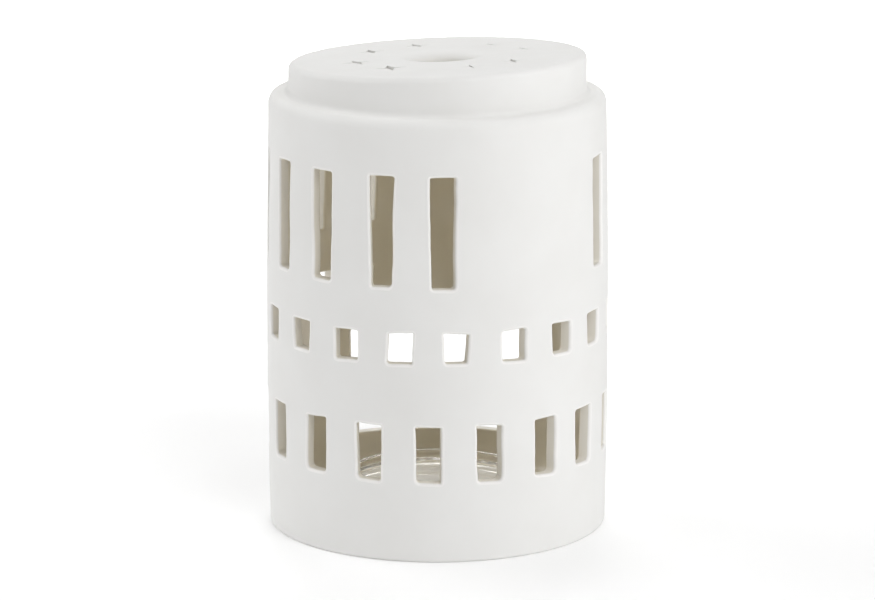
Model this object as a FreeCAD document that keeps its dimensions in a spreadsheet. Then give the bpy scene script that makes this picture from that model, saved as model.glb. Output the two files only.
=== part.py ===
import FreeCAD, Part
import math
import os
import Sketcher
from FreeCAD import Placement, Rotation, Vector

# Tealight holder: a slip-cast ceramic lantern house with a loose glass dish on its floor.
# Millimetres, +Z up, the object's front faces -Y. An azimuth is measured in degrees from the
# front towards +X, so the rear doorway is at 180.

# ---------------------------------------------------------------- driving dimensions

DIMENSIONS = {
    "body_foot_radius": 52.0,
    "body_barrel_swell": 0.75,
    "shoulder_radius": 51.5,
    "shoulder_height": 134.6,
    "shoulder_rounding": 2.8,
    "foot_rounding": 1.0,
    "foot_ring_inner_radius": 43.0,
    "foot_recess": 1.0,
    "wall_thickness": 4.0,
    "floor_height": 4.0,
    "floor_corner_rounding": 7.0,
    "ceiling_rounding": 3.0,
    "collar_radius": 45.5,
    "collar_foot_rounding": 1.6,
    "disc_height": 145.2,
    "disc_rounding": 2.0,
    "vent_radius": 9.2,
    "vent_lip_rounding": 3.6,
    "piercing_centre_x": 1.3,
    "piercing_centre_y": 0.5,
    "star_circle_radius": 26.8,
    "star_tip_radius": 4.7,
    "star_waist_radius": 1.2,
    "tall_slot_width": 7.0,
    "tall_slot_height": 33.0,
    "tall_slot_sill": 84.7,
    "square_width": 7.4,
    "square_height": 9.4,
    "square_sill": 61.2,
    "low_window_width": 7.6,
    "low_window_height": 17.2,
    "low_window_sill": 24.8,
    "window_corner": 0.8,
    "doorway_width": 55.0,
    "doorway_height": 41.0,
    "doorway_sill": 15.0,
    "doorway_corner": 8.0,
    "dish_radius": 30.0,
    "dish_height": 9.6,
    "dish_wall": 2.0,
    "dish_base": 7.2,
    "dish_rim_rounding": 0.9,
    "dish_corner_rounding": 0.6,
    "dish_foot_rounding": 1.0,
}

# Angles in degrees. The stars are stamped the same way round, and the windows are cut by hand at
# a small angle to the wall, more on the left of the object than on the right.
SLANT_ANGLE = 3.0
SLANT_RISES_TOWARDS = 46.0
STAR_TURN = 17.0
CUT_SKEW = 9.0
CUT_SKEW_SWING = 7.0

# The windows are cut by hand, so they sit near an even pitch and not on it. Two tall slots are
# left out at the front right, and the low windows stop at the doorway.
TALL_SLOT_AZIMUTHS = [1.6, -18.6, -41.3, -62.7, -84, -105, -125, -151.4, -172, 164, 139, 115, 92, 68.7]
SQUARE_AZIMUTHS = [-12.3, 5.7, 25.7, 45.2, 63.7, 84, 104, 125, 145, 166]
SQUARE_AZIMUTHS += [-172, -149, -132, -112, -92, -71.5, -51.5, -31.4]
LOW_WINDOW_AZIMUTHS = [-131, -110, -88, -66.6, -44.4, -22.8, -2.8, 17.4, 38.2, 57.5, 79, 100, 121]
STAR_AZIMUTHS = [19, 53, 111, 145, -163, -126, -74, -35]

NEAR = 0.05


def make_sheet(doc):
    sheet = doc.addObject("Spreadsheet::Sheet", "Sheet")
    for row, (name, value) in enumerate(DIMENSIONS.items(), start=1):
        sheet.set(f"A{row}", name)
        sheet.set(f"B{row}", str(value))
        sheet.setAlias(f"B{row}", name)
    doc.recompute()
    return sheet


def size(name):
    return DIMENSIONS[name]


# ---------------------------------------------------------------- sketch helpers

def origin_plane(body, role):
    return next(plane for plane in body.Origin.OriginFeatures if plane.Role == role)


def add_sketch(body, label, role="XZ_Plane", offset=None):
    sketch = body.newObject("Sketcher::SketchObject", label)
    sketch.AttachmentSupport = (origin_plane(body, role), "")
    sketch.MapMode = "FlatFace"
    if offset is not None:
        sketch.AttachmentOffset = offset
    return sketch


def pin_coordinate(sketch, kind, geometry, expression):
    """Hold one coordinate of a line's start point at a formula of the sheet's dimensions."""
    value = sketch.evalExpression(expression)
    value = float(getattr(value, "Value", value))
    if abs(value) < 1e-9:
        axis = -2 if kind == "DistanceX" else -1
        sketch.addConstraint(Sketcher.Constraint("PointOnObject", geometry, 1, axis))
        return
    index = sketch.addConstraint(Sketcher.Constraint(kind, -1, 1, geometry, 1, value))
    sketch.setExpression(f"Constraints[{index}]", expression)


def arc_between(start, end, swell):
    """An arc that bulges towards +X by the swell."""
    middle = (start + end) * 0.5
    across = (end - start).cross(Vector(0, 0, 1)).normalize()
    if across.x < 0:
        across = across * -1
    return Part.Arc(start, middle + across * swell, end)


def closed_profile(sketch, corners, swell_after=None, swell_name=None):
    """Join corners, given as formula pairs, with lines, and with one arc where a swell is named."""
    points = []
    for across, up in corners:
        values = [sketch.evalExpression(text) for text in (across, up)]
        numbers = [float(getattr(value, "Value", value)) for value in values]
        points.append(Vector(numbers[0], numbers[1], 0))
    count = len(points)
    ends = []
    for place in range(count):
        start, end = points[place], points[(place + 1) % count]
        if place == swell_after:
            sketch.addGeometry(arc_between(start, end, size(swell_name)), False)
            ends.append((2, 1) if arc_is_reversed(sketch, place, start) else (1, 2))
        else:
            sketch.addGeometry(Part.LineSegment(start, end), False)
            ends.append((1, 2))
    for place in range(count):
        following = (place + 1) % count
        joint = (place, ends[place][1], following, ends[following][0])
        sketch.addConstraint(Sketcher.Constraint("Coincident", *joint))
    for place, (across, up) in enumerate(corners):
        if place == swell_after:
            continue
        pin_coordinate(sketch, "DistanceX", place, across)
        pin_coordinate(sketch, "DistanceY", place, up)
    if swell_after is not None:
        pin_arc(sketch, swell_after, ends[swell_after][0], corners[swell_after])


def arc_is_reversed(sketch, geometry, start):
    return sketch.getPoint(geometry, 1).distanceToPoint(start) > NEAR


def pin_arc(sketch, geometry, start_end, corner):
    """Pin the arc's first corner and its radius."""
    for kind, text in zip(("DistanceX", "DistanceY"), corner):
        value = sketch.evalExpression(text)
        value = float(getattr(value, "Value", value))
        index = sketch.addConstraint(Sketcher.Constraint(kind, -1, 1, geometry, start_end, value))
        sketch.setExpression(f"Constraints[{index}]", text)
    radius = sketch.Geometry[geometry].Radius
    sketch.addConstraint(Sketcher.Constraint("Radius", geometry, radius))


def circle_at_centre(sketch, radius_formula, radius):
    sketch.addGeometry(Part.Circle(Vector(0, 0, 0), Vector(0, 0, 1), radius), False)
    sketch.addConstraint(Sketcher.Constraint("Coincident", 0, 3, -1, 1))
    index = sketch.addConstraint(Sketcher.Constraint("Radius", 0, radius))
    sketch.setExpression(f"Constraints[{index}]", radius_formula)


# ---------------------------------------------------------------- feature helpers

def revolve(body, sketch, label, kind="PartDesign::Revolution"):
    feature = body.newObject(kind, label)
    feature.Profile = sketch
    feature.ReferenceAxis = (sketch, ["V_Axis"])
    feature.Angle = 360
    body.Document.recompute()
    return feature


def pocket(body, sketch, label, length, upwards=False):
    feature = body.newObject("PartDesign::Pocket", label)
    feature.Profile = sketch
    feature.Length = length
    feature.Reversed = upwards
    body.Document.recompute()
    return feature


def round_edges(body, feature, label, wanted, radius_name):
    """Fillet every edge of a feature that the wanted test accepts."""
    edges = [f"Edge{number}" for number, edge in enumerate(feature.Shape.Edges, start=1) if wanted(edge)]
    if not edges:
        raise RuntimeError(f"{label} found no edge to round")
    fillet = body.newObject("PartDesign::Fillet", label)
    fillet.Base = (feature, edges)
    fillet.Radius = size(radius_name)
    fillet.setExpression("Radius", f"Sheet.{radius_name}")
    body.Document.recompute()
    return fillet


def level_ring(radius, height):
    """A test for a level circular edge of the given radius and height."""
    def wanted(edge):
        curve = edge.Curve
        if not isinstance(curve, Part.Circle):
            return False
        return abs(curve.Radius - radius) < NEAR and abs(curve.Center.z - height) < NEAR
    return wanted


def slanted_ring(widest, lowest):
    """A test for a closed edge of the slanted disc with about the given radius."""
    def wanted(edge):
        box = edge.BoundBox
        if box.ZMin < lowest or box.XLength < 1.0:
            return False
        return abs(box.XLength / 2 - widest) < 0.1 and abs(box.YLength / 2 - widest) < 0.1
    return wanted


def direction(azimuth):
    turn = math.radians(azimuth)
    return Vector(math.sin(turn), -math.cos(turn), 0)


def slant_placement(depth=0.0):
    """A frame on the slanted disc: its Z axis stands square to the disc."""
    rises = direction(SLANT_RISES_TOWARDS)
    tilt = Rotation(Vector(rises.y, -rises.x, 0), SLANT_ANGLE)
    centre = Vector(0, 0, size("disc_height"))
    return Placement(centre + tilt.multVec(Vector(0, 0, -depth)), tilt)


def piercing_placement():
    """The slanted frame, moved to the point that the vent and the ring of stars are centred on."""
    aside = Vector(size("piercing_centre_x"), size("piercing_centre_y"), 0)
    return slant_placement().multiply(Placement(aside, Rotation()))


# ---------------------------------------------------------------- ceramic shell

def outer_profile(body):
    sketch = add_sketch(body, "outer_profile")
    top = "Sheet.disc_height + 5"
    corners = [
        ("Sheet.body_foot_radius", "0"),
        ("Sheet.shoulder_radius", "Sheet.shoulder_height"),
        ("Sheet.collar_radius", "Sheet.shoulder_height"),
        ("Sheet.collar_radius", top),
        ("0", top),
        ("0", "Sheet.foot_recess"),
        ("Sheet.foot_ring_inner_radius", "Sheet.foot_recess"),
        ("Sheet.foot_ring_inner_radius", "0"),
    ]
    closed_profile(sketch, corners, 0, "body_barrel_swell")
    return sketch


def chamber_profile(body):
    sketch = add_sketch(body, "chamber_profile")
    ceiling = "Sheet.shoulder_height - Sheet.wall_thickness"
    corners = [
        ("Sheet.body_foot_radius - Sheet.wall_thickness", "Sheet.floor_height"),
        ("Sheet.shoulder_radius - Sheet.wall_thickness", ceiling),
        ("0", ceiling),
        ("0", "Sheet.floor_height"),
    ]
    closed_profile(sketch, corners, 0, "body_barrel_swell")
    return sketch


def star_outline(sketch, azimuth):
    """A four-pointed star with straight sides between its tips and its waist."""
    centre = direction(azimuth) * size("star_circle_radius")
    points = []
    for step in range(8):
        reach = size("star_tip_radius") if step % 2 == 0 else size("star_waist_radius")
        points.append(centre + direction(90 + STAR_TURN + 45 * step) * reach)
    first = sketch.GeometryCount
    for step in range(8):
        sketch.addGeometry(Part.LineSegment(points[step], points[(step + 1) % 8]), False)
    for step in range(8):
        sketch.addConstraint(Sketcher.Constraint("Block", first + step))


def make_shell(doc):
    body = doc.addObject("PartDesign::Body", "cast_shell")
    body.Label = "cast_shell"
    outside = revolve(body, outer_profile(body), "outside")

    slant_sketch = add_sketch(body, "slant_sketch", "XY_Plane", slant_placement())
    circle_at_centre(slant_sketch, "Sheet.body_foot_radius * 2", size("body_foot_radius") * 2)
    slanted = pocket(body, slant_sketch, "slanted_top", 20, upwards=True)

    disc_low = size("disc_height") - 5
    disc_edge = slanted_ring(size("collar_radius"), disc_low)
    rim = round_edges(body, slanted, "disc_rim", disc_edge, "disc_rounding")
    shoulder = level_ring(size("shoulder_radius"), size("shoulder_height"))
    rim = round_edges(body, rim, "shoulder_rim", shoulder, "shoulder_rounding")
    collar_foot = level_ring(size("collar_radius"), size("shoulder_height"))
    rim = round_edges(body, rim, "collar_foot", collar_foot, "collar_foot_rounding")
    foot = level_ring(size("body_foot_radius"), 0)
    round_edges(body, rim, "foot_edge", foot, "foot_rounding")

    chamber = revolve(body, chamber_profile(body), "chamber", "PartDesign::Groove")
    inner_foot = level_ring(size("body_foot_radius") - size("wall_thickness"), size("floor_height"))
    chamber = round_edges(body, chamber, "floor_corner", inner_foot, "floor_corner_rounding")
    ceiling_height = size("shoulder_height") - size("wall_thickness")
    inner_top = level_ring(size("shoulder_radius") - size("wall_thickness"), ceiling_height)
    round_edges(body, chamber, "ceiling_corner", inner_top, "ceiling_rounding")

    ceiling_placement = slant_placement(size("wall_thickness"))
    ceiling_sketch = add_sketch(body, "collar_bore_sketch", "XY_Plane", ceiling_placement)
    bore_radius = size("collar_radius") - size("wall_thickness")
    circle_at_centre(ceiling_sketch, "Sheet.collar_radius - Sheet.wall_thickness", bore_radius)
    bore = pocket(body, ceiling_sketch, "collar_bore", 14)
    bore_top = slanted_ring(bore_radius, disc_low - size("wall_thickness"))
    round_edges(body, bore, "collar_ceiling", bore_top, "ceiling_rounding")

    vent_sketch = add_sketch(body, "vent_sketch", "XY_Plane", piercing_placement())
    circle_at_centre(vent_sketch, "Sheet.vent_radius", size("vent_radius"))
    vent = pocket(body, vent_sketch, "vent", 8)
    vent_top = slanted_ring(size("vent_radius"), size("disc_height") - 1)
    round_edges(body, vent, "vent_lip", vent_top, "vent_lip_rounding")

    star_sketch = add_sketch(body, "star_sketch", "XY_Plane", piercing_placement())
    for azimuth in STAR_AZIMUTHS:
        star_outline(star_sketch, azimuth)
    pocket(body, star_sketch, "star_piercings", 8)
    return body


# ---------------------------------------------------------------- windows and doorway

def cut_heading(azimuth):
    """The direction that the knife points out of the wall at a window."""
    return azimuth + CUT_SKEW - CUT_SKEW_SWING * math.sin(math.radians(azimuth))


def make_cutter(doc, label, azimuth, heading, width, height, sill, corner, corner_ends):
    """A cutter block through the wall. Its long edges are rounded, all four or only the upper two."""
    block = doc.addObject("Part::Box", label)
    block.Length = 28
    block.setExpression("Width", width)
    block.setExpression("Height", height)
    doc.recompute()
    turn = Rotation(Vector(0, 0, 1), heading - 90)
    aim = direction(azimuth) * size("body_foot_radius") + Vector(0, 0, size(sill))
    start = aim + turn.multVec(Vector(-block.Length.Value / 2, -block.Width.Value / 2, 0))
    block.Placement = Placement(start, turn)
    block.setExpression(".Placement.Base.z", f"Sheet.{sill}")
    doc.recompute()
    middle = size(sill) + block.Height.Value / 2
    edges = []
    for number, edge in enumerate(block.Shape.Edges, start=1):
        along = edge.Vertexes[1].Point - edge.Vertexes[0].Point
        level = abs(along.dot(direction(heading))) > 20
        if level and (corner_ends == "all" or edge.CenterOfMass.z > middle):
            edges.append((number, corner, corner))
    rounded = doc.addObject("Part::Fillet", label + "_rounded")
    rounded.Base = block
    rounded.Edges = edges
    return rounded


def make_cutters(doc):
    rows = [
        ("tall_slot", TALL_SLOT_AZIMUTHS),
        ("square", SQUARE_AZIMUTHS),
        ("low_window", LOW_WINDOW_AZIMUTHS),
    ]
    cutters = []
    for name, azimuths in rows:
        for number, azimuth in enumerate(azimuths, start=1):
            block = make_cutter(
                doc, f"{name}_{number}", azimuth, cut_heading(azimuth), f"Sheet.{name}_width",
                f"Sheet.{name}_height", f"{name}_sill", size("window_corner"), "all")
            cutters.append(block)
    doorway = make_cutter(
        doc, "doorway", 180, 180, "Sheet.doorway_width", "Sheet.doorway_height",
        "doorway_sill", size("doorway_corner"), "upper")
    cutters.append(doorway)
    return cutters


def make_lantern_body(doc):
    shell = make_shell(doc)
    windows = doc.addObject("Part::Compound", "window_cutters")
    windows.Links = make_cutters(doc)
    lantern = doc.addObject("Part::Cut", "lantern_body")
    lantern.Label = "lantern_body"
    lantern.Base = shell
    lantern.Tool = windows
    doc.recompute()
    return lantern


# ---------------------------------------------------------------- glass dish

def make_glass_dish(doc):
    body = doc.addObject("PartDesign::Body", "glass_dish")
    body.Label = "glass_dish"
    sketch = add_sketch(body, "dish_profile")
    inner = "Sheet.dish_radius - Sheet.dish_wall"
    corners = [
        ("0", "0"),
        ("Sheet.dish_radius", "0"),
        ("Sheet.dish_radius", "Sheet.dish_height"),
        (inner, "Sheet.dish_height"),
        (inner, "Sheet.dish_base"),
        ("0", "Sheet.dish_base"),
    ]
    closed_profile(sketch, corners)
    dish = revolve(body, sketch, "dish_outside")
    foot = level_ring(size("dish_radius"), 0)
    dish = round_edges(body, dish, "dish_foot", foot, "dish_foot_rounding")
    inner_radius = size("dish_radius") - size("dish_wall")
    inner_corner = level_ring(inner_radius, size("dish_base"))
    dish = round_edges(body, dish, "dish_corner", inner_corner, "dish_corner_rounding")
    rim_outer = level_ring(size("dish_radius"), size("dish_height"))
    rim_inner = level_ring(inner_radius, size("dish_height"))
    round_edges(
        body, dish, "dish_rim", lambda edge: rim_outer(edge) or rim_inner(edge), "dish_rim_rounding")
    body.Placement = Placement(Vector(0, 0, size("floor_height")), Rotation())
    body.setExpression(".Placement.Base.z", "Sheet.floor_height")
    doc.recompute()
    return body


# ---------------------------------------------------------------- checks and export

def check_document(doc):
    for item in doc.Objects:
        if "Invalid" in item.State or "Error" in item.State:
            raise RuntimeError(f"{item.Label} did not compute: {item.State}")


def export_part(item):
    shape = item.Shape
    if shape.isNull() or not shape.isValid() or len(shape.Solids) != 1:
        raise RuntimeError(f"{item.Label} is not one valid solid")
    shape.exportStep(f"parts/{item.Label}.step")
    box = shape.optimalBoundingBox()
    extent = f"{box.XLength:.2f} x {box.YLength:.2f} x {box.ZLength:.2f}"
    print(f"{item.Label}: {extent}, volume {shape.Volume:.0f}")


def main():
    os.makedirs("parts", exist_ok=True)
    doc = FreeCAD.newDocument("tealight_holder")
    make_sheet(doc)
    nodes = [make_lantern_body(doc), make_glass_dish(doc)]
    doc.recompute()
    check_document(doc)
    for node in nodes:
        export_part(node)


main()
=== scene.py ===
import math
import random

import bmesh
import bpy
import numpy as np
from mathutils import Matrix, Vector, noise
from mathutils.geometry import delaunay_2d_cdt


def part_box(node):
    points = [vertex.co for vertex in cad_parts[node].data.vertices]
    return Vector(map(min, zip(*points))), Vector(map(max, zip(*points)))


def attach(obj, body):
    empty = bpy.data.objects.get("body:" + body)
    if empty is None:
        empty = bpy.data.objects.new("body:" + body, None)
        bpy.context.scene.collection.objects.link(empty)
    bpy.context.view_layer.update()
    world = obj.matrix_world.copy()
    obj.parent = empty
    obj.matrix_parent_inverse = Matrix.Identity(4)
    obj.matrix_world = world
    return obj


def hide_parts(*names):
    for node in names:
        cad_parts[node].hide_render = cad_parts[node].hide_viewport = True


# The looks of a ceramic lantern house for a tealight and of the glass dish on its floor.
# Metres, +Z up, front towards -Y. An azimuth is in degrees from the front towards +X.

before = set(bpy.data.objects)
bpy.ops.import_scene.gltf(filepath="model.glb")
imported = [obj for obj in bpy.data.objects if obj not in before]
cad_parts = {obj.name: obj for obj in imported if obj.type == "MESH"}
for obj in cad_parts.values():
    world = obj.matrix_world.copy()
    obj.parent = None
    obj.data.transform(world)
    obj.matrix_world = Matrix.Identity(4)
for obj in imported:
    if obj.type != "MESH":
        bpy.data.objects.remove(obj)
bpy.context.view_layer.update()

MM = 0.001
BODY_LOW, BODY_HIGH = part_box("lantern_body")
DISH_LOW, DISH_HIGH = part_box("glass_dish")

# ---------------------------------------------------------------- sizes

WIDEST = (BODY_HIGH[0] - BODY_LOW[0]) / 2
FOOT_RADIUS = WIDEST - 0.5 * MM
SHOULDER_RADIUS = WIDEST - 1.0 * MM
SWELL = 0.75 * MM
WALL = 4.0 * MM
FLOOR = DISH_LOW[2]
SHOULDER = 134.6 * MM
SHOULDER_ROUNDING = 2.8 * MM
FOOT_ROUNDING = 1.0 * MM
FOOT_RING_INNER = 43.0 * MM
FOOT_RECESS = 1.0 * MM
FLOOR_ROUNDING = 7.0 * MM
CEILING_ROUNDING = 3.0 * MM
COLLAR_RADIUS = 45.5 * MM
COLLAR_FOOT_ROUNDING = 1.6 * MM
DISC_HEIGHT = 145.2 * MM
DISC_ROUNDING = 2.0 * MM
SLANT = math.tan(math.radians(3.0))
SLANT_RISES_TOWARDS = 46.0
VENT_RADIUS = 9.2 * MM
VENT_LIP_DEPTH = 3.0 * MM
VENT_LIP_STRETCH = 1.4
VENT_THROAT_ROUNDING = 0.7 * MM

# Slow unevenness of the wall's two surfaces: a lump's size, its depth, and its place in the noise.
OUTER_LUMPS = (22.0 * MM, 0.10 * MM, 3.0)
INNER_LUMPS = (14.0 * MM, 0.22 * MM, 8.0)

# Rounded edges of the openings. A flat support ring outside each edge keeps its shading even.
OUTER_ARRIS = 0.85 * MM
INNER_ARRIS = 0.6 * MM
SUPPORT = 0.35 * MM
ARRIS_STEPS = 4

# The mesh. The seam is an azimuth where no window is near, and the grid keeps off the openings.
COLUMNS = 264
VENT_COLUMNS = 120
DISH_COLUMNS = 360
SEAM = 219.5
GRID = 2.2 * MM
KEPT_OFF = 0.7 * MM
KEPT_OFF_DISC_EDGE = 0.8 * MM

# Hand-cut openings. The knife leans off square to the wall by the skew, in degrees. Each corner
# strays from its place, and each side sways by a coarse noise and a fine one.
CUT_SKEW = 11.0
CUT_STRAY = 0.28 * MM
CUT_SWAY = 0.4 * MM
SWAY_LENGTH = 12.0 * MM
FINE_SWAY_LENGTH = 4.0 * MM
FINE_SWAY_SHARE = 0.3
CUT_SEED = 7
FOOT_CORNER_SPREAD = (0.7, 1.7)
HEAD_CORNER_SPREAD = (0.5, 1.0)
CUT_SPACING = 0.8 * MM
DOORWAY_SPACING = 2.0 * MM
DOORWAY_SILL_CORNER = 2.0 * MM
TALL_SLOTS = {
    "azimuths": [2.2, -18.6, -41.3, -62.7, -84, -105, -127.7,
                 -151.4, -172, 164, 139, 115, 92, 68.7],
    "head": 7.4 * MM, "foot": 6.5 * MM, "sill": 84.4 * MM, "height": 33.4 * MM, "corner": 0.9 * MM,
}
SQUARES = {
    "azimuths": [-12.3, 6.3, 26.1, 45.7, 64.5, 84, 104, 125, 145, 166,
                 -172, -149.9, -132, -112, -92, -71.5, -51.5, -31.4],
    "head": 7.6 * MM, "foot": 7.1 * MM, "sill": 61.2 * MM, "height": 9.4 * MM, "corner": 0.7 * MM,
}
LOW_WINDOWS = {
    "azimuths": [-131, -110, -88, -66.6, -44.4, -22.8, -2.8, 17.8, 38.7, 58, 79, 100, 122.6],
    "head": 7.8 * MM, "foot": 7.3 * MM, "sill": 24.8 * MM, "height": 17.2 * MM, "corner": 0.8 * MM,
}
DOORWAY = {
    "azimuths": [180],
    "head": 55.0 * MM, "foot": 55.0 * MM, "sill": 15.6 * MM, "height": 40.4 * MM,
    "corner": 8.0 * MM,
}

# The vent and the ring of four-pointed stars round it. A star's tip and waist are radii.
PIERCING_CENTRE = Vector((1.3 * MM, 0.5 * MM))
STAR_CIRCLE = 26.8 * MM
STAR_TURN = 17.0
STAR_TURN_STRAY = 8.0
STAR_POINT_STRAY = 5.0
STAR_SIDE_STEPS = 5
STAR_EDGE = 0.14 * MM
STAR_SUPPORT = 0.2 * MM
STAR_SEED = 21
STARS = [
    {"azimuth": 19, "tip": 4.6 * MM, "waist": 0.5 * MM},
    {"azimuth": 53, "tip": 4.7 * MM, "waist": 0.9 * MM},
    {"azimuth": 111, "tip": 4.3 * MM, "waist": 0.5 * MM},
    {"azimuth": 145, "tip": 4.3 * MM, "waist": 0.45 * MM},
    {"azimuth": -163, "tip": 4.7 * MM, "waist": 1.1 * MM},
    {"azimuth": -126, "tip": 4.7 * MM, "waist": 1.2 * MM},
    {"azimuth": -74, "tip": 5.5 * MM, "waist": 1.3 * MM},
    {"azimuth": -35, "tip": 5.6 * MM, "waist": 1.4 * MM},
]

DISH_GAP = 0.1 * MM
DISH_WALL = 2.0 * MM
DISH_BASE = 7.2 * MM
DISH_RIM_ROUNDING = 0.95 * MM
DISH_FOOT_ROUNDING = 1.0 * MM
DISH_CORNER_ROUNDING = 0.6 * MM

# Finishes of the ceramic, as material slots. The cut sides' warmer tint paints warm bounce
# light from the glaze, and the edges' paler tint paints a highlight round the openings.
BISQUE, GLAZE, CUT_SIDE_PAINTED_BOUNCE, EDGE_PAINTED_HIGHLIGHT = 0, 1, 2, 3

# Studio. Every softbox but the backdrop's aims at the holder's middle. Powers are in watts.
SOFTBOX_DISTANCE = 1.6
SOFTBOX_SIZE = 1.0
SOFTBOX_TARGET = (0.0, 0.0, 0.07)
SOFTBOXES = [
    {"name": "key_right", "azimuth": 35, "elevation": 40, "power": 9.3},
    {"name": "side_right", "azimuth": 85, "elevation": 15, "power": 7.1},
    {"name": "fill_left", "azimuth": -115, "elevation": 30, "power": 7.9},
    {"name": "side_left", "azimuth": -80, "elevation": 20, "power": 3.8},
    {"name": "front", "azimuth": 0, "elevation": 45, "power": 3.0},
    {"name": "overhead", "azimuth": 0, "elevation": 89, "power": 5.4},
    {"name": "low_behind", "azimuth": 180, "elevation": 25, "power": 1.1},
]
BACKDROP = {"name": "backdrop", "azimuth": 180, "elevation": 29, "power": 24.0}
BACKDROP_DISTANCE = 2.5
BACKDROP_SIZE = 1.2
BACKDROP_SPREAD = 70.0
BACKDROP_TARGET = (0.0, 1.6, 0.0)
WORLD_STRENGTH = 0.15
STUDIO_FLOOR_RADIUS = 4.0

CAMERA_PLACE = (0.0, -1.295, 0.372)
CAMERA_LOOKS_DOWN = 13.17
CAMERA_LENS = 177.4
CAMERA_SENSOR = 36.0


# ---------------------------------------------------------------- the body's outline

def barrel(height, low, high, low_radius, high_radius):
    """A slightly swollen radius between two heights."""
    part = (height - low) / (high - low)
    return low_radius + (high_radius - low_radius) * part + 4 * SWELL * part * (1 - part)


def unevenness(azimuth, height, size, depth, salt):
    """A slow bump of a surface, read from noise at the spot on the wall."""
    turn = math.radians(azimuth)
    spot = Vector((math.sin(turn) * WIDEST, -math.cos(turn) * WIDEST, height)) / size
    return depth * noise.noise(spot + Vector((salt, salt, salt)))


def outer_radius(azimuth, height):
    smooth = barrel(height, 0.0, SHOULDER, FOOT_RADIUS, SHOULDER_RADIUS)
    return smooth + unevenness(azimuth, height, *OUTER_LUMPS)


def inner_radius(azimuth, height):
    smooth = barrel(height, FLOOR, SHOULDER - WALL, FOOT_RADIUS - WALL, SHOULDER_RADIUS - WALL)
    return smooth + unevenness(azimuth, height, *INNER_LUMPS)


def place(azimuth, radius, height):
    turn = math.radians(azimuth)
    return Vector((math.sin(turn) * radius, -math.cos(turn) * radius, height))


def disc_height(x, y):
    """The height of the slanted disc's upper face."""
    rises = math.radians(SLANT_RISES_TOWARDS)
    return DISC_HEIGHT + SLANT * (math.sin(rises) * x - math.cos(rises) * y)


def arc(centre, radius, start, end, steps, stretch=1.0):
    """Points of an arc in a profile, as (radius, height) pairs; angles are in degrees."""
    points = []
    for step in range(steps + 1):
        angle = math.radians(start + (end - start) * step / steps)
        across = centre[0] + stretch * radius * math.cos(angle)
        points.append((across, centre[1] + radius * math.sin(angle)))
    return points


# ---------------------------------------------------------------- mesh building

class Shell:
    """Points and faces of one closed surface, with a finish for each face."""

    def __init__(self):
        self.points = []
        self.faces = []
        self.finishes = []

    def add(self, point):
        self.points.append(point)
        return len(self.points) - 1

    def loop(self, points):
        return [self.add(point) for point in points]

    def bridge(self, first, second, finish):
        count = len(first)
        for here in range(count):
            after = (here + 1) % count
            self.faces.append((first[here], first[after], second[after], second[here]))
            self.finishes.append(finish)

    def stack(self, loops, finish):
        for first, second in zip(loops, loops[1:]):
            self.bridge(first, second, finish)

    def close(self, loop, centre, finish):
        middle = self.add(centre)
        for here in range(len(loop)):
            after = (here + 1) % len(loop)
            self.faces.append((loop[here], loop[after], middle))
            self.finishes.append(finish)

    def sheet(self, flat, names, edges, holes, finish):
        """Triangles over a flat map of a surface: names[i] is the shell's point for flat[i]."""
        spots = [Vector(spot) for spot in flat]
        flat_points, _, triangles, origins = delaunay_2d_cdt(spots, edges, [], 0, 1e-9)[:4]
        middles = np.array([np.mean([flat_points[i] for i in face], axis=0) for face in triangles])
        keep = np.ones(len(triangles), bool)
        for hole in holes:
            keep &= ~inside(middles, np.array([flat[i] for i in hole]))
        for face, wanted in zip(triangles, keep):
            corners = [names[origins[i][0]] for i in face]
            if wanted and len(set(corners)) == 3:
                self.faces.append(tuple(corners))
                self.finishes.append(finish)

    def make(self, name, materials):
        mesh = bpy.data.meshes.new(name)
        mesh.from_pydata([tuple(point) for point in self.points], [], self.faces)
        for material in materials:
            mesh.materials.append(material)
        mesh.polygons.foreach_set("material_index", self.finishes)
        tidy = bmesh.new()
        tidy.from_mesh(mesh)
        bmesh.ops.recalc_face_normals(tidy, faces=tidy.faces)
        tidy.to_mesh(mesh)
        tidy.free()
        mesh.polygons.foreach_set("use_smooth", [True] * len(mesh.polygons))
        piece = bpy.data.objects.new(name, mesh)
        bpy.context.scene.collection.objects.link(piece)
        return piece


def inside(spots, polygon):
    """Which spots lie in a polygon, by counting the edges that a ray crosses."""
    result = np.zeros(len(spots), bool)
    low, high = polygon.min(axis=0), polygon.max(axis=0)
    near = np.all((spots >= low) & (spots <= high), axis=1)
    if not near.any():
        return result
    x, y = spots[near, 0], spots[near, 1]
    crossed = np.zeros(len(x), bool)
    for first, second in zip(polygon, np.roll(polygon, -1, axis=0)):
        straddles = (first[1] > y) != (second[1] > y)
        if first[1] != second[1]:
            reach = first[0] + (y - first[1]) * (second[0] - first[0]) / (second[1] - first[1])
            crossed ^= straddles & (x < reach)
    result[near] = crossed
    return result


# ---------------------------------------------------------------- hand-cut outlines

def corner_arc(before, corner, after, rounding, spacing):
    """Points round one corner of an outline."""
    back, ahead = (before - corner).normalized(), (after - corner).normalized()
    half = back.angle(ahead) / 2
    reach = rounding / math.tan(half)
    centre = corner + (back + ahead).normalized() * (rounding / math.sin(half))
    start, end = corner + back * reach, corner + ahead * reach
    steps = max(3, round(rounding * (math.pi - 2 * half) / (spacing * 0.45)))
    points = []
    for step in range(steps + 1):
        chord = start.lerp(end, step / steps) - centre
        points.append(centre + chord.normalized() * rounding)
    return points


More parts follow.
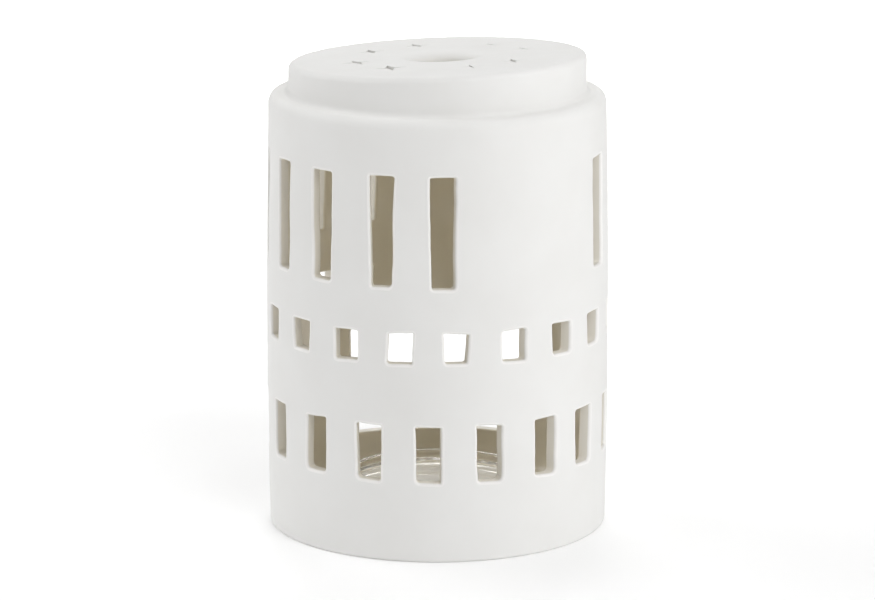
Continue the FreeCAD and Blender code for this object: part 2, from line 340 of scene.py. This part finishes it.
def rounded_outline(corners, roundings, spacing, draw):
    """A closed outline with rounded corners and slightly swaying sides, as points and normals."""
    count = len(corners)
    arcs = []
    for here, rounding in enumerate(roundings):
        before, after = corners[here - 1], corners[(here + 1) % count]
        arcs.append(corner_arc(before, corners[here], after, rounding, spacing))
    points = []
    for here in range(count):
        points += arcs[here]
        start, end = arcs[here][-1], arcs[(here + 1) % count][0]
        pieces = max(1, round((end - start).length / spacing))
        points += [start.lerp(end, step / pieces) for step in range(1, pieces)]
    salt = draw.uniform(0, 1)
    swayed = []
    for point, normal in zip(points, outward(points)):
        spot = Vector((point.x, point.y, salt))
        push = noise.noise(spot / SWAY_LENGTH)
        push += FINE_SWAY_SHARE * noise.noise(spot / FINE_SWAY_LENGTH)
        swayed.append(point + normal * CUT_SWAY * push)
    return swayed, outward(swayed)


def outward(points):
    """Outward normals of a closed outline that runs anticlockwise."""
    count = len(points)
    normals = []
    for here in range(count):
        along = (points[(here + 1) % count] - points[here - 1]).normalized()
        normals.append(Vector((along.y, -along.x)))
    return normals


def window_outline(row, draw, steady):
    """One opening's cut line, seen square on: x to the right, y up."""
    stray = 0.0 if steady else CUT_STRAY
    head, foot = row["head"] / 2, row["foot"] / 2
    sill, top = row["sill"], row["sill"] + row["height"]
    corners = []
    for x, y in ((-foot, sill), (foot, sill), (head, top), (-head, top)):
        corners.append(Vector((x + draw.uniform(-stray, stray), y + draw.uniform(-stray, stray))))
    if steady:
        roundings = [DOORWAY_SILL_CORNER, DOORWAY_SILL_CORNER, row["corner"], row["corner"]]
    else:
        roundings = [row["corner"] * draw.uniform(*FOOT_CORNER_SPREAD) for _ in corners[:2]]
        roundings += [row["corner"] * draw.uniform(*HEAD_CORNER_SPREAD) for _ in corners[2:]]
    spacing = DOORWAY_SPACING if steady else CUT_SPACING
    return rounded_outline(corners, roundings, spacing, draw)


def arris_rings(rounding):
    """(offset, depth) pairs that roll over an edge, from the surface into the cut."""
    rings = []
    for step in range(ARRIS_STEPS + 1):
        angle = math.pi / 2 * step / ARRIS_STEPS
        rings.append((rounding * (1 - math.sin(angle)), rounding * (1 - math.cos(angle))))
    return rings


# ---------------------------------------------------------------- the wall and its openings

class Opening:
    """One opening through the wall, with its loops of points on both surfaces."""

    def __init__(self, shell, azimuth, skew, outline, normals):
        self.heading = azimuth + skew
        self.aside = WIDEST * math.sin(math.radians(skew))
        self.outline = outline
        self.normals = normals
        outer, inner = [], []
        for offset, depth in [(OUTER_ARRIS + SUPPORT, 0.0)] + arris_rings(OUTER_ARRIS):
            outer.append(shell.loop(self.ring(offset, depth, outer_radius, -1)))
        for offset, depth in [(INNER_ARRIS + SUPPORT, 0.0)] + arris_rings(INNER_ARRIS):
            inner.append(shell.loop(self.ring(offset, depth, inner_radius, 1)))
        shell.bridge(outer[0], outer[1], BISQUE)
        # The rolled outer edge takes the paler finish, a painted highlight round the opening.
        shell.stack(outer[1:], EDGE_PAINTED_HIGHLIGHT)
        # The knife's cut takes the warmer finish, whose tint paints warm bounce light from the
        # glaze.
        shell.bridge(outer[-1], inner[-1], CUT_SIDE_PAINTED_BOUNCE)
        shell.stack(inner, GLAZE)
        self.outer_loop, self.inner_loop = outer[0], inner[0]

    def azimuth_at(self, across, radius):
        return self.heading + math.degrees(math.asin((across - self.aside) / radius))

    def ring(self, offset, depth, radius_at, side):
        points = []
        for spot, normal in zip(self.outline, self.normals):
            moved = spot + normal * offset
            azimuth = self.azimuth_at(moved.x, WIDEST)
            radius = radius_at(azimuth, moved.y) + side * depth
            points.append(place(self.azimuth_at(moved.x, radius), radius, moved.y))
        return points

    def flat_ring(self, offset, radius_at):
        """The ring on a map of the surface: azimuth in radians times the radius, and height."""
        spots = []
        for spot, normal in zip(self.outline, self.normals):
            moved = spot + normal * offset
            radius = radius_at(self.azimuth_at(moved.x, WIDEST), moved.y)
            spots.append((map_turn(self.azimuth_at(moved.x, radius)), moved.y))
        return spots


def map_turn(azimuth):
    """Distance round the wall from the seam."""
    return math.radians((azimuth - SEAM) % 360) * WIDEST


def make_openings(shell):
    draw = random.Random(CUT_SEED)
    openings = []
    for row in (TALL_SLOTS, SQUARES, LOW_WINDOWS):
        for azimuth in row["azimuths"]:
            outline, normals = window_outline(row, draw, steady=False)
            openings.append(Opening(shell, azimuth, CUT_SKEW, outline, normals))
    outline, normals = window_outline(DOORWAY, draw, steady=True)
    openings.append(Opening(shell, DOORWAY["azimuths"][0], 0.0, outline, normals))
    return openings


def wall_sheet(shell, openings, low, high, radius_at, rounding, finish, side):
    """One surface of the wall, from loop low to loop high, with holes for the openings."""
    low_height, high_height = shell.points[low[0]].z, shell.points[high[0]].z
    around = 2 * math.pi * WIDEST
    flat, names, edges, holes = [], [], [], []

    def add(spot, name):
        flat.append(spot)
        names.append(name)
        return len(flat) - 1

    for loop, height in ((low, low_height), (high, high_height)):
        row = []
        for step in range(COLUMNS + 1):
            row.append(add((around * step / COLUMNS, height), loop[step % COLUMNS]))
        edges += list(zip(row, row[1:]))
    kept_clear = []
    for opening in openings:
        loop = opening.outer_loop if side == "outer" else opening.inner_loop
        spots = opening.flat_ring(rounding + SUPPORT, radius_at)
        ring = [add(spot, name) for spot, name in zip(spots, loop)]
        edges += list(zip(ring, ring[1:] + ring[:1]))
        holes.append(ring)
        kept_clear.append(np.array(opening.flat_ring(rounding + SUPPORT + KEPT_OFF, radius_at)))
    rows = round((high_height - low_height) / GRID)
    columns = COLUMNS // 2
    left, right, candidates = [0], [COLUMNS], []
    for row in range(1, rows):
        height = low_height + (high_height - low_height) * row / rows
        name = shell.add(place(SEAM, radius_at(SEAM, height), height))
        left.append(add((0.0, height), name))
        right.append(add((around, height), name))
        shift = 0.5 if row % 2 else 0.0
        for column in range(1, columns):
            candidates.append((around * (column + shift - 0.25) / columns, height))
    for column, last in ((left, COLUMNS + 1), (right, 2 * COLUMNS + 1)):
        column.append(last)
        edges += list(zip(column, column[1:]))
    spots = np.array(candidates)
    clear = np.ones(len(spots), bool)
    for polygon in kept_clear:
        clear &= ~inside(spots, polygon)
    for turn, height in spots[clear]:
        azimuth = SEAM + math.degrees(turn / WIDEST)
        add((turn, height), shell.add(place(azimuth, radius_at(azimuth, height), height)))
    shell.sheet(flat, names, edges, holes, finish)


def level_loop(shell, radius, height, columns=COLUMNS):
    step = 360 / columns
    return shell.loop([place(SEAM + step * i, radius, height) for i in range(columns)])


def fitted_loop(shell, radius_at, height):
    step = 360 / COLUMNS
    azimuths = [SEAM + step * i for i in range(COLUMNS)]
    return shell.loop([place(azimuth, radius_at(azimuth, height), height) for azimuth in azimuths])


# ---------------------------------------------------------------- the slanted disc

def slanted_loop(shell, radius, drop, centre=Vector((0, 0)), columns=COLUMNS):
    """A ring of the given radius at a depth under the slanted disc."""
    points = []
    for column in range(columns):
        spot = place(SEAM + 360 * column / columns, radius, 0).xy + centre
        points.append(Vector((spot.x, spot.y, disc_height(spot.x, spot.y) - drop)))
    return shell.loop(points)


def star_outline(star, draw):
    """One star's cut line, as points and normals."""
    centre = place(star["azimuth"], STAR_CIRCLE, 0).xy + PIERCING_CENTRE
    heading = STAR_TURN + draw.uniform(-STAR_TURN_STRAY, STAR_TURN_STRAY)
    corners = []
    for step in range(8):
        tip = star["tip"] * draw.uniform(0.85, 1.08)
        waist = star["waist"] * draw.uniform(0.9, 1.2)
        reach = tip if step % 2 == 0 else waist
        stray = draw.uniform(-STAR_POINT_STRAY, STAR_POINT_STRAY)
        turn = math.radians(heading + 45 * step + stray)
        corners.append(centre + Vector((math.cos(turn), math.sin(turn))) * reach)
    points = []
    for here in range(8):
        first, second = corners[here], corners[(here + 1) % 8]
        for step in range(STAR_SIDE_STEPS):
            points.append(first.lerp(second, step / STAR_SIDE_STEPS))
    return points, outward(points)


def disc_sheets(shell, rim_loop, lip_loop, ceiling_loop, throat_loop):
    """The disc's upper and lower faces, with the star piercings between them."""
    draw = random.Random(STAR_SEED)
    outside = STAR_EDGE + STAR_SUPPORT
    rings = [
        (outside, 0), (STAR_EDGE, 0), (STAR_EDGE * 0.3, STAR_EDGE * 0.3), (0, STAR_EDGE),
        (0, WALL - STAR_EDGE), (STAR_EDGE, WALL), (outside, WALL),
    ]
    upper_loops, lower_loops = [], []
    for star in STARS:
        outline, normals = star_outline(star, draw)
        loops = []
        for offset, drop in rings:
            points = []
            for spot, normal in zip(outline, normals):
                moved = spot + normal * offset
                points.append(Vector((moved.x, moved.y, disc_height(moved.x, moved.y) - drop)))
            loops.append(shell.loop(points))
        shell.stack(loops[:5], BISQUE)
        shell.stack(loops[4:], GLAZE)
        upper_loops.append(loops[0])
        lower_loops.append(loops[-1])
    disc_sheet(shell, rim_loop, [lip_loop] + upper_loops, 0.0, BISQUE)
    disc_sheet(shell, ceiling_loop, [throat_loop] + lower_loops, WALL, GLAZE)


def disc_sheet(shell, outside, hole_loops, drop, finish):
    """One face of the disc, at a depth under its upper face, with its holes left open."""
    flat, names, edges, holes = [], [], [], []
    for loop in [outside] + hole_loops:
        ring = []
        for name in loop:
            flat.append((shell.points[name].x, shell.points[name].y))
            names.append(name)
            ring.append(len(flat) - 1)
        edges += list(zip(ring, ring[1:] + ring[:1]))
        if loop is not outside:
            holes.append(ring)
    polygons = [np.array([flat[i] for i in ring]) for ring in holes]
    reach = shell.points[outside[0]].xy.length - KEPT_OFF_DISC_EDGE
    steps = int(reach / GRID)
    spots = []
    for row in range(-steps, steps + 1):
        for column in range(-steps, steps + 1):
            spot = (column * GRID + (0.5 * GRID if row % 2 else 0), row * GRID)
            if math.hypot(*spot) < reach:
                spots.append(spot)
    spots = np.array(spots)
    clear = np.ones(len(spots), bool)
    for polygon in polygons:
        middle = polygon.mean(axis=0)
        wider = middle + (polygon - middle) * (1 + KEPT_OFF / np.abs(polygon - middle).max())
        clear &= ~inside(spots, wider)
    for x, y in spots[clear]:
        flat.append((x, y))
        names.append(shell.add(Vector((x, y, disc_height(x, y) - drop))))
    shell.sheet(flat, names, edges, holes, finish)


# ---------------------------------------------------------------- the lantern body

def add_foot(shell):
    """The underside, the foot ring and the wall's lowest loop, which is returned."""
    profile = [(FOOT_RING_INNER * share, FOOT_RECESS) for share in (0.1, 0.5)]
    profile += [
        (FOOT_RING_INNER - 0.5 * MM, FOOT_RECESS), (FOOT_RING_INNER, FOOT_RECESS - 0.2 * MM),
        (FOOT_RING_INNER + 0.3 * MM, 0.15 * MM), (FOOT_RING_INNER + 0.8 * MM, 0.0),
    ]
    profile += arc((FOOT_RADIUS - FOOT_ROUNDING, FOOT_ROUNDING), FOOT_ROUNDING, -90, -18, 5)
    loops = [level_loop(shell, radius, height) for radius, height in profile]
    loops.append(fitted_loop(shell, outer_radius, FOOT_ROUNDING))
    shell.stack(loops, BISQUE)
    shell.close(loops[0], Vector((0, 0, FOOT_RECESS)), BISQUE)
    return loops[-1]


def add_shoulder(shell, wall_top):
    """The shoulder, the ledge, the collar and the disc's rim, whose inner loop is returned."""
    centre = (SHOULDER_RADIUS - SHOULDER_ROUNDING, SHOULDER - SHOULDER_ROUNDING)
    profile = arc(centre, SHOULDER_ROUNDING, 0, 90, 8)[1:]
    hollow_centre = (COLLAR_RADIUS + COLLAR_FOOT_ROUNDING, SHOULDER + COLLAR_FOOT_ROUNDING)
    profile += arc(hollow_centre, COLLAR_FOOT_ROUNDING, 270, 180, 6)
    loops = [wall_top] + [level_loop(shell, radius, height) for radius, height in profile]
    collar_foot = [shell.points[name] for name in loops[-1]]
    for share in (0.33, 0.66, 1.0):
        points = []
        for spot in collar_foot:
            top = disc_height(spot.x, spot.y) - DISC_ROUNDING
            points.append(Vector((spot.x, spot.y, spot.z + (top - spot.z) * share)))
        loops.append(shell.loop(points))
    rim = arc((COLLAR_RADIUS - DISC_ROUNDING, -DISC_ROUNDING), DISC_ROUNDING, 0, 90, 6)
    loops += [slanted_loop(shell, radius, -height) for radius, height in rim[1:]]
    shell.stack(loops, BISQUE)
    return loops[-1]


def add_vent(shell):
    """The vent's soft lip and its throat; the loops at its top and bottom are returned."""
    lip_centre = (VENT_RADIUS + VENT_LIP_DEPTH * VENT_LIP_STRETCH, -VENT_LIP_DEPTH)
    lip = arc(lip_centre, VENT_LIP_DEPTH, 90, 180, 8, VENT_LIP_STRETCH)
    throat_centre = (VENT_RADIUS + VENT_THROAT_ROUNDING, -WALL + VENT_THROAT_ROUNDING)
    throat = arc(throat_centre, VENT_THROAT_ROUNDING, 180, 270, 4)
    loops = []
    for radius, height in lip + throat:
        loops.append(slanted_loop(shell, radius, -height, PIERCING_CENTRE, VENT_COLUMNS))
    shell.stack(loops[:len(lip) + 1], BISQUE)
    shell.stack(loops[len(lip):], GLAZE)
    return loops[0], loops[-1]


def add_ceiling(shell):
    """The disc's underside edge, the collar's bore and the ledge; its end loops are returned."""
    bore = COLLAR_RADIUS - WALL
    ledge = SHOULDER - WALL
    wall = SHOULDER_RADIUS - WALL
    edge = arc((bore - CEILING_ROUNDING, -WALL - CEILING_ROUNDING), CEILING_ROUNDING, 90, 0, 6)
    loops = [slanted_loop(shell, radius, -height) for radius, height in edge]
    profile = arc((bore + 1.0 * MM, ledge + 1.0 * MM), 1.0 * MM, 180, 270, 5)
    profile += arc((wall - CEILING_ROUNDING, ledge - CEILING_ROUNDING), CEILING_ROUNDING, 90, 12, 6)
    loops += [level_loop(shell, radius, height) for radius, height in profile]
    loops.append(fitted_loop(shell, inner_radius, ledge - CEILING_ROUNDING))
    shell.stack(loops, GLAZE)
    return loops[0], loops[-1]


def add_floor(shell):
    """The chamber's floor and its rounded corner; the loop at the wall is returned."""
    edge = FOOT_RADIUS - WALL
    profile = arc((edge - FLOOR_ROUNDING, FLOOR + FLOOR_ROUNDING), FLOOR_ROUNDING, -9, -90, 9)
    profile += [(edge * share, FLOOR) for share in (0.6, 0.35, 0.1)]
    loops = [fitted_loop(shell, inner_radius, FLOOR + FLOOR_ROUNDING)]
    loops += [level_loop(shell, radius, height) for radius, height in profile]
    shell.stack(loops, GLAZE)
    shell.close(loops[-1], Vector((0, 0, FLOOR)), GLAZE)
    return loops[0]


def make_lantern(materials):
    shell = Shell()
    openings = make_openings(shell)
    wall_foot = add_foot(shell)
    wall_top = fitted_loop(shell, outer_radius, SHOULDER - SHOULDER_ROUNDING)
    wall_sheet(shell, openings, wall_foot, wall_top, outer_radius, OUTER_ARRIS, BISQUE, "outer")
    disc_edge = add_shoulder(shell, wall_top)
    vent_top, vent_bottom = add_vent(shell)
    ceiling_edge, chamber_top = add_ceiling(shell)
    chamber_foot = add_floor(shell)
    wall_sheet(
        shell, openings, chamber_foot, chamber_top, inner_radius, INNER_ARRIS, GLAZE, "inner")
    disc_sheets(shell, disc_edge, vent_top, ceiling_edge, vent_bottom)
    piece = shell.make("lantern_house", materials)
    normals = piece.modifiers.new("even_shading", "WEIGHTED_NORMAL")
    normals.mode = "FACE_AREA"
    normals.keep_sharp = True
    return piece


# ---------------------------------------------------------------- the glass dish

def make_dish(material):
    radius = (DISH_HIGH[0] - DISH_LOW[0]) / 2
    height = DISH_HIGH[2] - DISH_LOW[2]
    inner = radius - DISH_WALL
    foot, rim, corner = DISH_FOOT_ROUNDING, DISH_RIM_ROUNDING, DISH_CORNER_ROUNDING
    profile = [(radius * share, DISH_GAP) for share in (0.1, 0.5)]
    profile += arc((radius - foot, foot + DISH_GAP), foot, -90, 0, 8)
    profile += arc((radius - rim, height - rim), rim, 0, 90, 14)
    profile += arc((inner + rim, height - rim), rim, 90, 180, 14)
    profile += arc((inner - corner, DISH_BASE + corner), corner, 0, -90, 8)
    profile += [(inner * share, DISH_BASE) for share in (0.6, 0.1)]
    shell = Shell()
    loops = [level_loop(shell, across, FLOOR + up, DISH_COLUMNS) for across, up in profile]
    shell.stack(loops, 0)
    shell.close(loops[0], Vector((0, 0, FLOOR + DISH_GAP)), 0)
    shell.close(loops[-1], Vector((0, 0, FLOOR + DISH_BASE)), 0)
    return shell.make("glass_dish_clear", [material])


# ---------------------------------------------------------------- materials

def new_material(name):
    material = bpy.data.materials.new(name)
    material.use_nodes = True
    tree = material.node_tree
    shader = tree.nodes["Principled BSDF"]
    return material, tree, shader


def noise_node(tree, scale, detail, roughness=0.5):
    place_node = tree.nodes.new("ShaderNodeTexCoord")
    node = tree.nodes.new("ShaderNodeTexNoise")
    node.inputs["Scale"].default_value = scale
    node.inputs["Detail"].default_value = detail
    node.inputs["Roughness"].default_value = roughness
    tree.links.new(place_node.outputs["Object"], node.inputs["Vector"])
    return node


def ramp_node(tree, source, low, high):
    """A blend from the low to the high colour over the middle of a noise's range."""
    node = tree.nodes.new("ShaderNodeValToRGB")
    for element, position, colour in zip(node.color_ramp.elements, (0.3, 0.7), (low, high)):
        element.position = position
        element.color = (*colour, 1)
    tree.links.new(source, node.inputs["Fac"])
    return node


def grey_ramp(tree, source, low, high):
    return ramp_node(tree, source, (low, low, low), (high, high, high))


def bump_node(tree, source, strength, distance, below=None):
    node = tree.nodes.new("ShaderNodeBump")
    node.inputs["Strength"].default_value = strength
    node.inputs["Distance"].default_value = distance
    tree.links.new(source, node.inputs["Height"])
    if below is not None:
        tree.links.new(below.outputs["Normal"], node.inputs["Normal"])
    return node


def ceramic_material(name, tint, sheen, swell):
    """A clay or glaze finish. Each argument gives a noise's scale and detail, then its effect."""
    material, tree, shader = new_material(name)
    scale, detail, low_colour, high_colour = tint
    clouds = noise_node(tree, scale, detail)
    colour = ramp_node(tree, clouds.outputs["Fac"], low_colour, high_colour)
    tree.links.new(colour.outputs["Color"], shader.inputs["Base Color"])
    scale, detail, low_roughness, high_roughness = sheen
    worn = noise_node(tree, scale, detail)
    dull = grey_ramp(tree, worn.outputs["Fac"], low_roughness, high_roughness)
    tree.links.new(dull.outputs["Color"], shader.inputs["Roughness"])
    scale, detail, strength, distance = swell
    waves = noise_node(tree, scale, detail)
    bump = bump_node(tree, waves.outputs["Fac"], strength, distance)
    tree.links.new(bump.outputs["Normal"], shader.inputs["Normal"])
    return material, tree, shader, bump


def bisque_material():
    material, tree, shader, waves = ceramic_material(
        "matt_bisque",
        tint=(45, 3, (0.795, 0.79, 0.772), (0.82, 0.817, 0.802)),
        sheen=(300, 4, 0.62, 0.78),
        swell=(60, 2, 0.35, 0.15 * MM),
    )
    grain = noise_node(tree, 2600, 3, 0.6)
    fine = bump_node(tree, grain.outputs["Fac"], 0.35, 0.03 * MM, waves)
    tree.links.new(fine.outputs["Normal"], shader.inputs["Normal"])
    shader.inputs["IOR"].default_value = 1.45
    return material


def glaze_material():
    """The clear, warm glaze inside the chamber."""
    material, _, shader, _ = ceramic_material(
        "clear_glaze",
        tint=(60, 3, (0.80, 0.749, 0.623), (0.83, 0.777, 0.658)),
        sheen=(120, 2, 0.06, 0.14),
        swell=(90, 2, 0.4, 0.3 * MM),
    )
    shader.inputs["IOR"].default_value = 1.5
    return material


def cut_side_painted_bounce_material():
    """The sides of the windows, cut by the knife; their warmer tint paints warm bounce light off
    the glaze.
    """
    return ceramic_material(
        "cut_side_painted_bounce",
        tint=(70, 3, (0.80, 0.773, 0.708), (0.825, 0.798, 0.733)),
        sheen=(400, 3, 0.45, 0.65),
        swell=(500, 3, 0.3, 0.06 * MM),
    )[0]


def edge_painted_highlight_material():
    """The outer edges of the windows, a little smoother than the wall, with a paler tint that
    paints a highlight along them.
    """
    return ceramic_material(
        "edge_painted_highlight",
        tint=(60, 3, (0.86, 0.85, 0.83), (0.89, 0.88, 0.862)),
        sheen=(300, 3, 0.4, 0.55),
        swell=(120, 2, 0.3, 0.1 * MM),
    )[0]


def glass_material():
    """Clear glass that lets light through to what stands behind it."""
    material, tree, shader = new_material("clear_glass")
    smears = noise_node(tree, 80, 3)
    gloss = grey_ramp(tree, smears.outputs["Fac"], 0.0, 0.03)
    tree.links.new(gloss.outputs["Color"], shader.inputs["Roughness"])
    ripple = noise_node(tree, 70, 2)
    low = bump_node(tree, ripple.outputs["Fac"], 0.012, 0.2 * MM)
    tree.links.new(low.outputs["Normal"], shader.inputs["Normal"])
    shader.inputs["Base Color"].default_value = (0.99, 0.985, 0.975, 1)
    shader.inputs["Transmission Weight"].default_value = 1.0
    shader.inputs["IOR"].default_value = 1.5
    rays = tree.nodes.new("ShaderNodeLightPath")
    clear = tree.nodes.new("ShaderNodeBsdfTransparent")
    clear.inputs["Color"].default_value = (0.94, 0.95, 0.945, 1)
    either = tree.nodes.new("ShaderNodeMixShader")
    tree.links.new(rays.outputs["Is Shadow Ray"], either.inputs["Fac"])
    tree.links.new(shader.outputs["BSDF"], either.inputs[1])
    tree.links.new(clear.outputs["BSDF"], either.inputs[2])
    tree.links.new(either.outputs["Shader"], tree.nodes["Material Output"].inputs["Surface"])
    return material


def floor_material():
    material, tree, shader = new_material("pale_floor")
    clouds = noise_node(tree, 3, 2)
    tint = ramp_node(tree, clouds.outputs["Fac"], (0.945, 0.945, 0.945), (0.955, 0.955, 0.955))
    tree.links.new(tint.outputs["Color"], shader.inputs["Base Color"])
    shader.inputs["Roughness"].default_value = 0.9
    shader.inputs["Emission Color"].default_value = (1, 1, 1, 1)
    shader.inputs["Emission Strength"].default_value = 0.06
    return material


# ---------------------------------------------------------------- studio

def make_floor():
    mesh = bpy.data.meshes.new("floor")
    shape = bmesh.new()
    bmesh.ops.create_circle(shape, cap_ends=True, segments=96, radius=STUDIO_FLOOR_RADIUS)
    shape.to_mesh(mesh)
    shape.free()
    mesh.materials.append(floor_material())
    floor = bpy.data.objects.new("floor", mesh)
    bpy.context.scene.collection.objects.link(floor)


def add_softbox(lamp, distance, size, target):
    light = bpy.data.lights.new(lamp["name"], "AREA")
    light.shape = "SQUARE"
    light.size = size
    light.energy = lamp["power"]
    holder = bpy.data.objects.new(lamp["name"], light)
    lift = math.radians(lamp["elevation"])
    across, up = distance * math.cos(lift), distance * math.sin(lift)
    holder.location = place(lamp["azimuth"], across, up)
    holder.rotation_euler = (Vector(target) - holder.location).to_track_quat("-Z", "Y").to_euler()
    bpy.context.scene.collection.objects.link(holder)
    return light


def make_studio():
    scene = bpy.context.scene
    world = bpy.data.worlds.new("studio")
    world.use_nodes = True
    background = world.node_tree.nodes["Background"]
    background.inputs["Color"].default_value = (1, 1, 1, 1)
    background.inputs["Strength"].default_value = WORLD_STRENGTH
    scene.world = world
    scene.view_settings.view_transform = "Standard"
    scene.cycles.max_bounces = 24
    scene.cycles.glossy_bounces = 12
    scene.cycles.transmission_bounces = 16
    scene.cycles.diffuse_bounces = 6
    for lamp in SOFTBOXES:
        add_softbox(lamp, SOFTBOX_DISTANCE, SOFTBOX_SIZE, SOFTBOX_TARGET)
    backdrop = add_softbox(BACKDROP, BACKDROP_DISTANCE, BACKDROP_SIZE, BACKDROP_TARGET)
    backdrop.spread = math.radians(BACKDROP_SPREAD)


def make_camera():
    camera = bpy.data.cameras.new("camera")
    camera.sensor_width = CAMERA_SENSOR
    camera.lens = CAMERA_LENS
    camera.clip_end = 20
    holder = bpy.data.objects.new("camera", camera)
    holder.location = CAMERA_PLACE
    holder.rotation_euler = (math.radians(90 - CAMERA_LOOKS_DOWN), 0, 0)
    bpy.context.scene.collection.objects.link(holder)
    bpy.context.scene.camera = holder


# ---------------------------------------------------------------- assembly

make_floor()
make_studio()
make_camera()

# The last two finishes paint light: warm bounce light on the cut sides, a highlight on the edges.
finishes = [bisque_material(), glaze_material(), cut_side_painted_bounce_material(), edge_painted_highlight_material()]
lantern = make_lantern(finishes)
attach(lantern, "lantern")
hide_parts("lantern_body")

dish = make_dish(glass_material())
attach(dish, "dish")
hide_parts("glass_dish")
